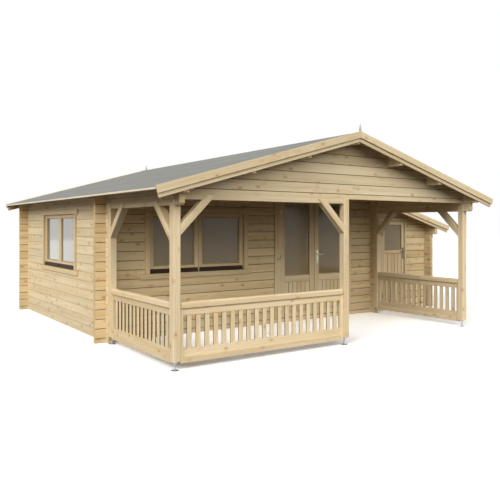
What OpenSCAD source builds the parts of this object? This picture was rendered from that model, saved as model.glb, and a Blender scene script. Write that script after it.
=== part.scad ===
// Log cabin with a front veranda, a glazed double door and a lean-to side room.
// The front runs along X, the rooms lie behind it along +Y, and the ground is z = 0.

/* [Logs] */
// Height of one log course
log_h = 135; // [120:1:145]
// Thickness of the wall logs
log_t = 70; // [58:1:80]
// Length of the log ends beyond each corner
log_end = 156; // [120:1:200]
// Length of the main side walls' log ends in front of the front wall
front_log_end = 100; // [80:1:150]
// Bevel along the edges of each log
log_bevel = 5; // [3:0.5:8]
// Height of the tongue on top of each log
tongue_h = 8; // [5:0.5:12]
// Width of the tongue
tongue_w = 26; // [20:1:32]
// Gap between pieces that are fitted together
fit = 0.3; // [0.2:0.05:0.5]

/* [Plan] */
// Outer width of the main room
main_w = 5360; // [5200:10:5700]
// Outer depth of both rooms
room_d = 4215; // [3900:5:4600]
// Width of the side room, from the main room's outer face to its own
annex_w = 1590; // [1450:5:1750]
// Distance from the front wall to the middle of the front posts
veranda_d = 2030; // [1800:10:2300]

/* [Roof] */
// Full log courses of the main side walls, below the bevelled top log
wall_courses = 15; // [15:1:16]
// Height of the bevelled top log at the outer face of the side wall
top_log_h = 125; // [100:1:135]
// Pitch of both slopes, in degrees
roof_pitch = 15.6; // [14:0.01:17]
// Overhang of the left eave beyond its wall
left_overhang = 359; // [280:1:420]
// Overhang of the veranda's right eave beyond the right wall
right_overhang = 340; // [280:1:420]
// Overhang of the side room's eave beyond its wall
annex_overhang = 335; // [280:1:420]
// Overhang of the front gable beyond the middle of the front posts
gable_overhang = 320; // [290:1:380]
// Overhang at the rear wall
rear_overhang = 233; // [220:1:300]
// Overhang of the side room's roof beyond its front wall
annex_front_overhang = 315; // [310:1:360]
// Thickness of the roof boards
roof_board_t = 20; // [16:1:24]
// Thickness of the roofing felt
felt_t = 3; // [2:0.5:5]
// Width of the purlins
purlin_w = 60; // [45:1:75]
// Height of the purlins
purlin_h = 135; // [110:1:150]
// Distance between purlins across the slope, measured level
purlin_pitch = 865; // [800:5:900]

/* [Roof trim] */
// Height of the upper bargeboard, measured plumb
barge_h = 91; // [80:1:105]
// Height of both bargeboards together, measured plumb
verge_h = 145; // [135:1:170]
// Thickness of the bargeboards
barge_t = 22; // [18:1:26]
// Lip of the upper bargeboard above the felt
barge_lip = 12; // [6:1:20]
// How far the lower bargeboards end short of the eave fascias
verge_step = 3; // [1:0.5:10]
// Thickness of the eave fascias
fascia_t = 18; // [14:1:22]
// Height of the eave fascias
fascia_h = 26; // [20:1:40]
// Height of the finial spikes above the bargeboards
finial_h = 105; // [80:1:130]
// Height of the finial spikes' straight foot
finial_foot = 35; // [25:1:45]
// Radius of the finial spikes at the foot
finial_r = 16; // [12:1:20]

/* [Veranda] */
// Side of the square posts
post_w = 97; // [90:1:110]
// Bevel on the posts' edges
post_bevel = 6; // [3:0.5:10]
// Height of the posts' feet
foot_h = 107; // [90:1:125]
// Radius of the feet's ground plates
foot_r = 48; // [40:1:52]
// Thickness of the feet's ground and head plates
foot_plate = 6; // [4:0.5:8]
// Height of the feet's nuts
foot_nut = 18; // [12:1:24]
// Radius of the threaded rods
rod_r = 11; // [8:0.5:14]
// Shift of the centre post from the middle of the main room
middle_post_shift = -5; // [-100:1:100]
// Length of the plate logs beyond the middle of the front posts
plate_end = 170; // [140:1:200]
// Bevel under the plate logs' front ends
plate_nose = 25; // [15:1:35]
// Width of the knee braces
brace_w = 88; // [75:1:100]
// Drop of a knee brace's lower edge along its post
brace_run = 408; // [350:1:450]
// Height to which a knee brace laps over its beam
brace_lap = 62; // [50:1:80]

/* [Balustrades] */
// Top of the handrail
rail_z = 780; // [740:5:840]
// Height of the handrail
rail_h = 83; // [70:1:95]
// Width of the handrail
rail_w = 84; // [70:1:95]
// Bevel on the handrail's top
rail_bevel = 16; // [8:1:22]
// Underside of the bottom rail
bottom_rail_z = 79; // [70:1:110]
// Height of the bottom rail
bottom_rail_h = 70; // [55:1:80]
// Thickness of the stiles and the bottom rail
stile_t = 58; // [50:1:65]
// Width of the stiles
stile_w = 45; // [38:1:55]
// Height of the recessed upper inner rail
upper_inner_h = 73; // [60:1:85]
// Height of the recessed lower inner rail
lower_inner_h = 88; // [70:1:100]
// Thickness of the inner rails
inner_rail_t = 34; // [28:1:40]
// Thickness of the slats
slat_t = 18; // [14:1:22]
// Width of the slats
slat_w = 62; // [55:1:68]
// Slats in the front balustrade
front_slats = 20; // [18:1:21]
// Slats in each side balustrade
side_slats = 14; // [12:1:14]

/* [Windows] */
// Shift of the front window from its third of the front wall's free length
window_shift = -37; // [-90:1:40]
// Middle of the left window, from the front wall's outer face
left_window_y = 2170; // [1800:10:2400]
// Lower edge of the glass
glass_z = 1050; // [1020:1:1100]
// Width of the glass in each sash
glass_w = 697; // [640:1:720]
// Height of the glass in each sash
glass_h = 740; // [680:1:760]
// Thickness of the panes
pane_t = 6; // [4:1:10]
// Width of the sash stiles
sash_stile = 70; // [60:1:78]
// Height of the sash's top rail
sash_top = 55; // [45:1:70]
// Height of the sash's bottom rail
sash_bottom = 107; // [95:1:120]
// Thickness of the sashes
sash_t = 45; // [38:1:48]
// Setback of the sashes behind the casing's face
sash_setback = 40; // [28:1:44]
// Width of the window casings
casing_w = 80; // [70:1:95]
// Length of the casings' ears at head and sill
casing_ear = 80; // [60:1:95]
// Thickness of the casings
casing_t = 22; // [18:1:26]
// Thickness of the lining boards in the openings
lining_t = 25; // [20:1:30]
// Height of the drip bars under the sashes
drip_h = 67; // [55:1:75]
// Projection of the drip bars
drip_d = 26; // [18:1:32]

/* [Doors] */
// Shift of the double door from its third of the front wall's free length
door_shift = -46; // [-90:1:40]
// Width of each leaf of the double door
leaf_w = 769.5; // [740:0.5:790]
// Height of the double door's leaves
leaf_h = 2070; // [2020:1:2080]
// Lower edge of the leaves
leaf_z = 75; // [73:1:80]
// Thickness of the leaves
leaf_t = 40; // [36:1:44]
// Running gap around the leaves
leaf_gap = 6; // [5.5:0.5:8]
// Setback of the leaves behind the casing's face
leaf_setback = 15; // [10:1:18]
// Width of the double door's stiles and rails
leaf_stile = 105; // [90:1:120]
// Lower edge of the double door's glass
door_glass_z = 793; // [740:1:850]
// Height of the rail under the door glass
lock_rail_h = 113; // [95:1:130]
// Thickness of the boarded lower panels
panel_t = 22; // [18:1:26]
// Width of the double door's casings
door_casing_w = 110; // [95:1:115]
// Hinge edge of the side room's leaf, from the main room's outer face
annex_door_inset = 252; // [240:1:300]
// Width of the side room's leaf
annex_leaf_w = 626; // [600:1:650]
// Height of the side room's leaf
annex_leaf_h = 1670; // [1620:1:1675]
// Width of the side room's stiles and rails
annex_stile = 68; // [60:1:80]
// Lower edge of the side room's door glass
annex_glass_z = 1175; // [1120:1:1220]
// Width of the side room's door casings
annex_casing_w = 56; // [48:1:60]
// Height of the lowest hinge above a leaf's lower edge
hinge_low = 220; // [150:5:300]
// Distance of the highest hinge below a leaf's upper edge
hinge_high = 260; // [200:5:350]
// Radius of the hinge barrels
barrel_r = 7; // [6:0.5:8]
// Height of each hinge barrel half
barrel_h = 40; // [30:1:50]
// Clearance between the hinge barrels and the casing
barrel_gap = 3; // [2:0.5:5]
// Length of the hinge plates
hinge_plate = 62; // [45:1:70]
// Thickness of the hinge plates
hinge_t = 4; // [3:0.5:5]
// Height of the lever above the ground
lever_z = 1147; // [1080:1:1200]
// Length of the lever
lever_l = 112; // [95:1:125]
// Height of the handle's back plate
handle_plate_h = 233; // [200:1:250]
// Width of the handle's back plate
handle_plate_w = 38; // [32:1:42]
// Thickness of the handle's back plate
handle_plate_t = 4; // [3:0.5:6]
// Height of the handle's back plate below the lever
handle_below = 158; // [130:1:175]
// Distance of the lever from its back plate
lever_reach = 45; // [38:1:55]
// Radius of the handle's neck
lever_neck_r = 9; // [7:0.5:11]
// Radius of the lever
lever_r = 8; // [6:0.5:10]
// Middle of the double door's handle, from the leaf's free edge
handle_inset = 70; // [50:1:90]

/* [Floor] */
// Height of the floor joists
joist_h = 44; // [38:1:46]
// Thickness of the floor boards
floor_t = 20; // [16:1:20]
// Distance between joists
joist_pitch = 600; // [450:10:700]

/* [Hidden] */
$fn = 48;

// Colours of the finishes
log_colour = "burlywood";
board_colour = "wheat";
felt_colour = "darkgray";
steel_colour = "silver";
bronze_colour = "darkslategray";
glass_colour = "dimgray";

// Roof lines, as heights over the plan
slope = tan(roof_pitch);
annex_x = main_w + annex_w;
ridge_x = main_w / 2;
eave_z = wall_courses * log_h + top_log_h;
ridge_z = eave_z + ridge_x * slope;
board_v = roof_board_t / cos(roof_pitch);
felt_v = felt_t / cos(roof_pitch);
function under_z(x) = ridge_z - slope * abs(x - ridge_x);
function felt_under_z(x) = under_z(x) + board_v + fit;
function barge_z(x) = felt_under_z(x) + felt_v + barge_lip;

// Ends of the roof in plan
left_eave_x = -left_overhang;
main_eave_x = main_w + right_overhang;
right_eave_x = annex_x + annex_overhang;
front_y = -veranda_d - gable_overhang;
rear_y = room_d + rear_overhang;
annex_front_y = -annex_front_overhang;
board_front_y = front_y + barge_t + fit;
board_rear_y = rear_y - barge_t - fit;
annex_board_y = annex_front_y + barge_t + fit;
beam_front_y = board_front_y + barge_t + fit;
beam_rear_y = board_rear_y - barge_t - fit;

// The part's origin is on the ground under the middle of the roof
mid_x = (left_eave_x + right_eave_x) / 2;
mid_y = (front_y + rear_y) / 2;

// Middles of the walls
left_cx = log_t / 2;
right_cx = main_w - log_t / 2;
annex_cx = annex_x - log_t / 2;
front_cy = log_t / 2;
rear_cy = room_d - log_t / 2;
gable_cy = -veranda_d;

// Courses: side logs rise from the ground, front and rear logs start with a half log
notch = log_h / 4;
least_log = log_h / 3;
plate_z = (wall_courses - 1) * log_h;
tie_z = (wall_courses - 0.5) * log_h;
seat_z = tie_z + log_h / 2;
top_course = floor((ridge_z - least_log) / log_h + 0.5);
annex_eave_z = under_z(annex_x);
annex_courses = floor((annex_eave_z - least_log) / log_h);

// Windows, as wall openings
sash_w = glass_w + 2 * sash_stile;
sash_h = glass_h + sash_top + sash_bottom;
sash_z = glass_z - sash_bottom;
window_w = 2 * sash_w + 3 * fit;
window_h = sash_h + 2 * fit;
window_z = sash_z - fit;

// Doors, as wall openings; the window and the double door leave three gaps on the main room's front
sill_z = log_h / 2;
door_w = 2 * leaf_w + 3 * leaf_gap;
door_top = leaf_z + leaf_h + leaf_gap;
window_outer_w = window_w + 2 * (casing_w + casing_ear);
door_outer_w = door_w + 2 * door_casing_w;
front_gap = (main_w - 2 * log_t - window_outer_w - door_outer_w) / 3;
front_window_x = log_t + front_gap + window_outer_w / 2 + window_shift;
door_left = log_t + 2 * front_gap + window_outer_w + door_casing_w + door_shift;
door_x = door_left + leaf_gap;
door_right = door_left + door_w;
middle_post_x = main_w / 2 + middle_post_shift;
annex_door_x = main_w + annex_door_inset;
annex_door_w = annex_leaf_w + 2 * leaf_gap;
annex_door_top = leaf_z + annex_leaf_h + leaf_gap;
leaf_y = -casing_t - fit + leaf_setback;
axis_y = -casing_t - fit - barrel_gap - barrel_r;
annex_door_left = annex_door_x - leaf_gap;
main_hinge_z = [leaf_z + hinge_low, leaf_z + leaf_h / 2, leaf_z + leaf_h - hinge_high];
annex_hinge_z = [leaf_z + hinge_low, leaf_z + annex_leaf_h - hinge_high];

front_holes = [
  [front_window_x - window_w / 2 - lining_t - fit, front_window_x + window_w / 2 + lining_t + fit,
   window_z - lining_t - fit, window_z + window_h + lining_t + fit],
  [door_left - lining_t - fit, door_right + lining_t + fit, sill_z, door_top + lining_t + fit],
  [annex_door_left - lining_t - fit, annex_door_left + annex_door_w + lining_t + fit,
   sill_z, annex_door_top + lining_t + fit]];
left_holes = [[left_window_y - window_w / 2 - lining_t - fit, left_window_y + window_w / 2 + lining_t + fit,
   window_z - lining_t - fit, window_z + window_h + lining_t + fit]];

module set_out() {
  translate([-mid_x, -mid_y, 0]) children();
}

// Box from its two corners
module block(low, high) {
  translate(low) cube(high - low);
}

// Upright outline in X and Z, carried from y0 to y1
module along_y(y0, y1, outline) {
  translate([0, y1, 0]) rotate([90, 0, 0]) linear_extrude(y1 - y0) polygon(outline);
}

// All that lies below the roof, lowered by a gap
module under_roof(gap = fit) {
  far = annex_x + 2 * annex_overhang;
  along_y(2 * front_y, 2 * rear_y, [[-far, 0], [-far, under_z(-far) - gap], [ridge_x, ridge_z - gap],
    [far, under_z(far) - gap], [far, 0]]);
}

// Cross-section of a log: bevelled edges, a tongue on top and, above the ground, a groove underneath
module log_section(low, high) {
  half = log_t / 2;
  tongue = tongue_w / 2;
  groove = tongue + 2 * fit;
  groove_top = low + tongue_h + 3 * fit;
  grooved = [[-groove, low], [-groove, groove_top], [groove, groove_top], [groove, low]];
  polygon(concat([[-half, low + log_bevel], [-half + log_bevel, low]], low > 0 ? grooved : [],
    [[half - log_bevel, low], [half, low + log_bevel], [half, high - log_bevel], [half - log_bevel, high],
     [tongue, high], [tongue, high + tongue_h], [-tongue, high + tongue_h], [-tongue, high],
     [-half + log_bevel, high], [-half, high - log_bevel]]));
}

// Outline of a notch that is a quarter of the course deep, for a crossing log at x
function notch_points(x, edge, depth_z) = let (half = log_t / 2 + fit)
  [[x - half, edge], [x - half, depth_z], [x + half, depth_z], [x + half, edge]];
function reversed(list) = [for (i = [len(list) - 1 : -1 : 0]) list[i]];

// Log along X between two course lines, notched under and over the walls that it crosses; nose bevels its start
module log_x(x0, x1, course0, course1, under = [], over = [], nose = 0) {
  low = course0 > 0 ? course0 + fit : 0;
  spare = 2 * tongue_h + log_bevel;
  bottom = [for (x = under) each notch_points(x, course0 - spare, course0 + notch + fit)];
  top = reversed([for (x = over) each notch_points(x, course1 + spare, course1 - notch)]);
  start = nose > 0 ? [[x0, course0 + nose], [x0 + nose + spare, course0 - spare]] : [[x0, course0 - spare]];
  outline = concat(start, bottom, [[x1, course0 - spare], [x1, course1 + spare]], top,
    [[x0, course1 + spare]]);
  intersection() {
    translate([x0, 0, 0]) rotate([90, 0, 90]) linear_extrude(x1 - x0) log_section(low, course1);
    along_y(-log_t, log_t, outline);
  }
}

// The same log along Y
module log_y(y0, y1, course0, course1, under = [], over = [], nose = 0) {
  rotate([0, 0, 90]) log_x(y0, y1, course0, course1, under, over, nose);
}

// Log along X near y = 0 with openings [from, to, bottom, top] cut out of it
module pierced_log(holes, x0, x1, course0, course1, under = [], over = []) {
  hit = [for (o = holes) if (o[0] < x1 && o[1] > x0 && o[2] < course1 + tongue_h && o[3] > course0) o];
  if (len(hit) == 0) log_x(x0, x1, course0, course1, under, over);
  else difference() {
    log_x(x0, x1, course0, course1, under, over);
    for (o = hit) block([o[0], -log_t, o[2]], [o[1], log_t, o[3]]);
  }
}

// Seats for the purlins in a gable
purlin_steps = [-2, -1, 0, 1, 2];
function purlin_x(step) = ridge_x + step * purlin_pitch;
function purlin_under(x) = under_z(x) - purlin_h;
purlin_seats = [for (s = purlin_steps) let (x = purlin_x(s))
  [x - purlin_w / 2 - fit, x + purlin_w / 2 + fit, purlin_under(x) - fit, ridge_z + 2 * log_h]];

// Side wall from the ground up, below its plate log
module side_wall(x, courses, holes, front_end) {
  crossings = [front_cy, rear_cy];
  translate([x, 0, 0]) for (k = [0 : courses - 1])
    rotate([0, 0, 90])
      pierced_log(holes, -front_end, room_d + log_end, k * log_h, (k + 1) * log_h, crossings, crossings);
}

// Left end of a gable log: at the side wall, at the roof, or at a purlin that is close to the roof
function roof_reach(course) = (ridge_z - course) / slope;
function gable_end(course) = let (tip = max(log_t + fit, ridge_x - roof_reach(course)),
  seats = [for (s = purlin_seats) if (s[1] > tip && s[0] < tip + log_h) s[1]])
  len(seats) > 0 ? seats[0] : tip;

// Log of a gable, between the roof slopes and notched for the purlins
module gable_log(j, holes) {
  course0 = (j - 0.5) * log_h;
  course1 = j == top_course ? ridge_z + log_h : (j + 0.5) * log_h;
  x0 = gable_end(course0);
  intersection() {
    pierced_log(concat(holes, purlin_seats), x0, main_w - x0, course0, course1);
    under_roof();
  }
}

// Front or rear wall of both rooms, with the gable over the main room
module cross_wall(y, holes) {
  all = [left_cx, right_cx, annex_cx];
  main = [left_cx, right_cx];
  translate([0, y, 0]) {
    pierced_log(holes, -log_end, annex_x + log_end, 0, log_h / 2, [], all);
    for (j = [1 : annex_courses - 1]) let (z = (j - 0.5) * log_h)
      pierced_log(holes, -log_end, annex_x + log_end, z, z + log_h, all, all);
    let (z = (annex_courses - 0.5) * log_h) intersection() {
      pierced_log(holes, -log_end, annex_x + log_end, z, z + log_h, all, all);
      under_roof();
    }
    for (j = [annex_courses + 1 : wall_courses]) let (z = (j - 0.5) * log_h) intersection() {
      pierced_log(holes, -log_end, min(annex_x - log_t - fit, ridge_x + roof_reach(z)), z, z + log_h, main, main);
      under_roof();
    }
    for (j = [wall_courses + 1 : top_course]) gable_log(j, holes);
    let (z = (wall_courses + 0.5) * log_h) if (eave_z - z > least_log) intersection() {
      log_x(main_w + fit, ridge_x + roof_reach(z), z, z + log_h);
      under_roof();
    }
  }
}

// Plate log and bevelled top log of a main side wall, which run on over the veranda
module eave_logs(x, plate_over) {
  rooms = [front_cy, rear_cy];
  translate([x, 0, 0]) log_y(-veranda_d - plate_end, room_d + log_end, plate_z, plate_z + log_h,
    rooms, plate_over, plate_nose);
  intersection() {
    translate([x, 0, 0]) log_y(beam_front_y, beam_rear_y, plate_z + log_h, ridge_z,
      concat([gable_cy], rooms));
    under_roof();
  }
}

module left_wall() { color(log_colour) set_out() side_wall(left_cx, wall_courses - 1, left_holes, front_log_end); }

module right_wall() { color(log_colour) set_out() side_wall(right_cx, wall_courses - 1, [], front_log_end); }

module front_wall() { color(log_colour) set_out() cross_wall(front_cy, front_holes); }

module rear_wall() { color(log_colour) set_out() cross_wall(rear_cy, []); }

// The side room's wall ends in a plate log and a bevelled top log
module annex_wall() {
  crossings = [front_cy, rear_cy];
  plate = (annex_courses - 1) * log_h;
  color(log_colour) set_out() {
    side_wall(annex_cx, annex_courses - 1, [], log_end);
    translate([annex_cx, 0, 0])
      log_y(annex_board_y + barge_t + 2 * fit, room_d + log_end, plate, plate + log_h, crossings, crossings);
    intersection() {
      translate([annex_cx, 0, 0]) log_y(annex_board_y + barge_t + 2 * fit, beam_rear_y,
        plate + log_h, annex_eave_z + log_h, crossings);
      under_roof();
    }
  }
}

module left_eave_logs() {
  color(log_colour) set_out() eave_logs(left_cx, [gable_cy, front_cy, rear_cy]);
}

module right_eave_logs() { color(log_colour) set_out() eave_logs(right_cx, [front_cy, rear_cy]); }

// Log gable over the front posts: its tie log is halved over the entrance
module veranda_gable() {
  both = [left_cx, right_cx];
  halving = [middle_post_x - post_w / 2, main_w + 2 * log_end, 0, seat_z];
  plate_groove = [right_cx - tongue_w / 2 - 2 * fit, right_cx + tongue_w / 2 + 2 * fit,
    0, seat_z + tongue_h + 3 * fit];
  color(log_colour) set_out() translate([0, gable_cy, 0]) {
    pierced_log([halving, plate_groove], -log_end, main_w + log_end, tie_z, tie_z + log_h, both, both);
    for (j = [wall_courses + 1 : top_course]) gable_log(j, []);
  }
}

// Ridge beam and purlins, bevelled to the roof
module roof_purlins() {
  color(log_colour) set_out() for (s = purlin_steps) let (x = purlin_x(s)) intersection() {
    block([x - purlin_w / 2, beam_front_y, purlin_under(x)], [x + purlin_w / 2, beam_rear_y, ridge_z]);
    under_roof();
  }
}

// Flat sheet of a slope between two upright planes in X
module slope_sheet(x0, x1, y0, y1, rise, thick) {
  along_y(y0, y1, [[x0, under_z(x0) + rise], [x1, under_z(x1) + rise],
    [x1, under_z(x1) + rise + thick], [x0, under_z(x0) + rise + thick]]);
}

module roof_boards_left() {
  color(board_colour) set_out()
    slope_sheet(left_eave_x + fascia_t + fit, ridge_x - fit / 2, board_front_y, board_rear_y, 0, board_v);
}

module roof_boards_right() {
  color(board_colour) set_out()
    slope_sheet(ridge_x + fit / 2, main_eave_x - fascia_t - fit, board_front_y, board_rear_y, 0, board_v);
}

module annex_roof_boards() {
  color(board_colour) set_out()
    slope_sheet(main_eave_x - fascia_t, right_eave_x - fascia_t - fit, annex_board_y, board_rear_y, 0, board_v);
}

// One sheet on each slope and one on the side room, each carried over its fascia
module roof_felt() {
  rise = board_v + fit;
  color(felt_colour) set_out() {
    slope_sheet(left_eave_x, ridge_x - fit / 2, board_front_y, board_rear_y, rise, felt_v);
    slope_sheet(ridge_x + fit / 2, main_eave_x - fit, board_front_y, board_rear_y, rise, felt_v);
    slope_sheet(main_eave_x, right_eave_x, annex_board_y, board_rear_y, rise, felt_v);
  }
}

// Fascias close the board ends at the eaves
module eave_fascias() {
  drop = fascia_h - board_v;
  color(board_colour) set_out() {
    slope_sheet(left_eave_x, left_eave_x + fascia_t, board_front_y, board_rear_y, -drop, fascia_h);
    slope_sheet(main_eave_x - fascia_t, main_eave_x, board_front_y, annex_board_y - fit, -drop, fascia_h);
    slope_sheet(right_eave_x - fascia_t, right_eave_x, annex_board_y, board_rear_y, -drop, fascia_h);
  }
}

// Board along a verge, its upper edge a set height over the roof's underside and its eave end cut square
module verge_board(x0, x1, y0, upper, height) {
  back = height * sin(roof_pitch) * cos(roof_pitch);
  low0 = x0 < ridge_x ? x0 + back : x0;
  low1 = x0 < ridge_x ? x1 : x1 - back;
  along_y(y0, y0 + barge_t, [[low0, under_z(low0) + upper - height], [low1, under_z(low1) + upper - height],
    [x1, under_z(x1) + upper], [x0, under_z(x0) + upper]]);
}

barge_rise = board_v + fit + felt_v + barge_lip;

module front_bargeboards() {
  color(board_colour) set_out() {
    verge_board(left_eave_x, ridge_x - fit / 2, front_y, barge_rise, barge_h);
    verge_board(ridge_x + fit / 2, main_eave_x, front_y, barge_rise, barge_h);
  }
}

module rear_bargeboards() {
  color(board_colour) set_out() {
    verge_board(left_eave_x, ridge_x - fit / 2, rear_y - barge_t, barge_rise, barge_h);
    verge_board(ridge_x + fit / 2, right_eave_x, rear_y - barge_t, barge_rise, barge_h);
  }
}

module annex_bargeboard() {
  color(board_colour) set_out()
    verge_board(main_eave_x + fit, right_eave_x, annex_front_y, barge_rise, barge_h);
}

// Lower bargeboards, behind the upper ones and under the roof boards
module verge_boards() {
  height = verge_h - barge_rise - fit;
  step = fascia_t + verge_step;
  color(board_colour) set_out() {
    for (y = [board_front_y, board_rear_y - barge_t])
      verge_board(left_eave_x + step, ridge_x - fit / 2, y, -fit, height);
    verge_board(ridge_x + fit / 2, main_eave_x - step, board_front_y, -fit, height);
    verge_board(ridge_x + fit / 2, right_eave_x - step, board_rear_y - barge_t, -fit, height);
    verge_board(main_eave_x, right_eave_x - step, annex_board_y, -fit, height);
  }
}

// Spear-shaped spikes that straddle the bargeboards' joint
module gable_finials() {
  tip_r = finial_r / 12;
  foot_drop = finial_r * slope + barge_lip;
  color(felt_colour) set_out() for (y = [front_y + finial_r, rear_y - finial_r]) difference() {
    translate([ridge_x, y, barge_z(ridge_x)]) rotate_extrude()
      polygon([[0, -foot_drop], [finial_r, -foot_drop], [finial_r, finial_foot], [tip_r, finial_h],
        [0, finial_h]]);
    translate([0, 0, barge_rise + fit]) under_roof(0);
  }
}

// Square post with bevelled edges
module post(x, y, top) {
  half = post_w / 2;
  inset = half - post_bevel;
  translate([x, y, foot_h]) linear_extrude(top - fit - foot_h)
    polygon([[-half, -inset], [-inset, -half], [inset, -half], [half, -inset], [half, inset], [inset, half],
      [-inset, half], [-half, inset]]);
}

// Post that is forked over a plate log along Y
module forked_post(x, y, top) {
  slot = log_t / 2 + fit;
  difference() {
    post(x, y, top);
    block([x - slot, y - post_w, plate_z - fit], [x + slot, y + post_w, top + fit]);
  }
}

rear_post_y = -front_log_end - fit - post_w / 2;
plate_top = plate_z + log_h;
forked_places = [[left_cx, gable_cy, tie_z], [right_cx, gable_cy, seat_z], [left_cx, rear_post_y, plate_top],
  [right_cx, rear_post_y, plate_top]];
middle_place = [middle_post_x, gable_cy, seat_z];

module veranda_posts() {
  color(log_colour) set_out() {
    for (p = forked_places) forked_post(p[0], p[1], p[2]);
    post(middle_place[0], middle_place[1], middle_place[2]);
  }
}

// Adjustable feet: a ground plate, a threaded rod with its nut, and a head plate
module post_feet() {
  nut_r = 1.8 * rod_r;
  nut_z = foot_h - fit - foot_plate - foot_nut;
  head_r = post_w / 2 - post_bevel;
  top = foot_h - fit;
  color(steel_colour) set_out() for (p = concat(forked_places, [middle_place])) translate([p[0], p[1], 0])
    rotate_extrude() polygon([[0, 0], [foot_r, 0], [foot_r, foot_plate], [rod_r, foot_plate],
      [rod_r, nut_z], [nut_r, nut_z], [nut_r, top - foot_plate],
      [head_r, top - foot_plate], [head_r, top], [0, top]]);
}

// Knee brace that rises at 45 degrees from a post at x = 0 to a beam along X, forked over the beam
module knee_brace(beam_z) {
  low = beam_z - brace_run;
  top = beam_z + brace_lap;
  rise = brace_w * sqrt(2);
  half = log_t / 2 + fit;
  difference() {
    along_y(-post_w / 2, post_w / 2,
      [[fit, low + fit], [top - low, top], [top - low - rise, top], [fit, low + rise]]);
    block([-brace_run, -half, beam_z - fit], [2 * brace_run, half, top + log_h]);
  }
}

module knee_braces() {
  face = post_w / 2;
  color(log_colour) set_out() {
    translate([left_cx + face, gable_cy, 0]) knee_brace(tie_z);
    translate([middle_post_x - face, gable_cy, 0]) mirror([1, 0, 0]) knee_brace(tie_z);
    for (x = [left_cx, right_cx]) {
      translate([x, gable_cy + face, 0]) rotate([0, 0, 90]) knee_brace(plate_z);
      translate([x, rear_post_y - face, 0]) rotate([0, 0, -90]) knee_brace(plate_z);
    }
  }
}

// Balustrade panel along X: handrail, stiles, bottom rail, recessed inner rails and slats
module balustrade(length, slats) {
  under_rail = rail_z - rail_h;
  half = rail_w / 2;
  inner0 = bottom_rail_z + bottom_rail_h;
  clear = length - 2 * stile_w;
  gap = (clear - slats * slat_w) / (slats + 1);
  tenon = lower_inner_h / 4;
  slat0 = inner0 + lower_inner_h;
  slat1 = under_rail - upper_inner_h;
  color(board_colour) union() {
    rotate([90, 0, 90]) linear_extrude(length)
      polygon([[-half, under_rail], [half, under_rail], [half, rail_z - rail_bevel], [half - rail_bevel, rail_z],
        [-half + rail_bevel, rail_z], [-half, rail_z - rail_bevel]]);
    for (x = [0, length - stile_w])
      block([x, -stile_t / 2, bottom_rail_z], [x + stile_w, stile_t / 2, under_rail]);
    block([0, -stile_t / 2, bottom_rail_z], [length, stile_t / 2, inner0]);
    block([0, -inner_rail_t / 2, inner0], [length, inner_rail_t / 2, slat0]);
    block([0, -inner_rail_t / 2, slat1], [length, inner_rail_t / 2, under_rail]);
    for (i = [0 : slats - 1]) let (x = stile_w + gap + i * (slat_w + gap))
      block([x, -slat_t / 2, slat0 - tenon], [x + slat_w, slat_t / 2, slat1 + tenon]);
  }
}

side_panel_l = rear_post_y - gable_cy - post_w - 2 * fit;
front_panel_l = middle_post_x - left_cx - post_w - 2 * fit;

module side_panel(x) {
  set_out() translate([x, gable_cy + post_w / 2 + fit, 0]) rotate([0, 0, 90])
    balustrade(side_panel_l, side_slats);
}

module left_balustrade() { side_panel(left_cx); }

module front_balustrade() {
  set_out() translate([left_cx + post_w / 2 + fit, gable_cy, 0]) balustrade(front_panel_l, front_slats);
}

module right_balustrade() { side_panel(right_cx); }

// Four boards around a clear opening, in a layer from y0 to y1; ears lengthen head and sill
module boards_around(width, bottom, top, board_w, y0, y1, ear = 0, sill = true) {
  half = width / 2;
  for (s = [-1, 1]) translate([s * (half + board_w / 2), 0, 0])
    block([-board_w / 2, y0, bottom + fit / 2], [board_w / 2, y1, top - fit]);
  block([-half - board_w - ear, y0, top], [half + board_w + ear, y1, top + board_w]);
  if (sill) block([-half - board_w - ear, y0, bottom - board_w], [half + board_w + ear, y1, bottom]);
}

// Window frame in a wall whose outer face is y = 0: casings on both faces and the lining between
module window_frame() {
  color(board_colour) {
    boards_around(window_w, window_z, window_z + window_h, casing_w, -casing_t - fit, -fit, casing_ear);
    boards_around(window_w, window_z, window_z + window_h, lining_t, 0, log_t);
    boards_around(window_w, window_z, window_z + window_h, casing_w, log_t + fit, log_t + fit + casing_t);
  }
}

// Places what is drawn for a window in the front wall and in the left wall
module at_front_window() { set_out() translate([front_window_x, 0, 0]) children(); }

module at_left_window() { set_out() translate([0, left_window_y, 0]) rotate([0, 0, -90]) children(); }

module front_window_frame() { at_front_window() window_frame(); }

module left_window_frame() { at_left_window() window_frame(); }

sash_y = -casing_t - fit + sash_setback;
sash_places = [-sash_w - fit / 2, fit / 2];

module sash_pair() {
  color(board_colour) for (x = sash_places) translate([x, sash_y, sash_z]) difference() {
    cube([sash_w, sash_t, sash_h]);
    translate([sash_stile, -fit, sash_bottom]) cube([glass_w, sash_t + 2 * fit, glass_h]);
  }
}

module window_sashes() {
  at_front_window() sash_pair();
  at_left_window() sash_pair();
}

module pane_pair() {
  color(glass_colour) for (x = sash_places)
    translate([x + sash_stile + fit, sash_y + (sash_t - pane_t) / 2, glass_z + fit])
      cube([glass_w - 2 * fit, pane_t, glass_h - 2 * fit]);
}

module window_glass() {
  at_front_window() pane_pair();
  at_left_window() pane_pair();
}

// Drip bars throw rain clear of the sashes' bottom rails
module drip_pair() {
  nose = drip_h / 8;
  color(bronze_colour) for (x = sash_places)
    translate([x + sash_stile / 4, sash_y - fit, sash_z]) rotate([90, 0, 90])
      linear_extrude(sash_w - sash_stile / 2)
        polygon([[0, 0], [0, drip_h], [-nose, drip_h], [-drip_d, nose], [-drip_d, 0]]);
}

module window_drip_bars() {
  at_front_window() drip_pair();
  at_left_window() drip_pair();
}

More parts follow.
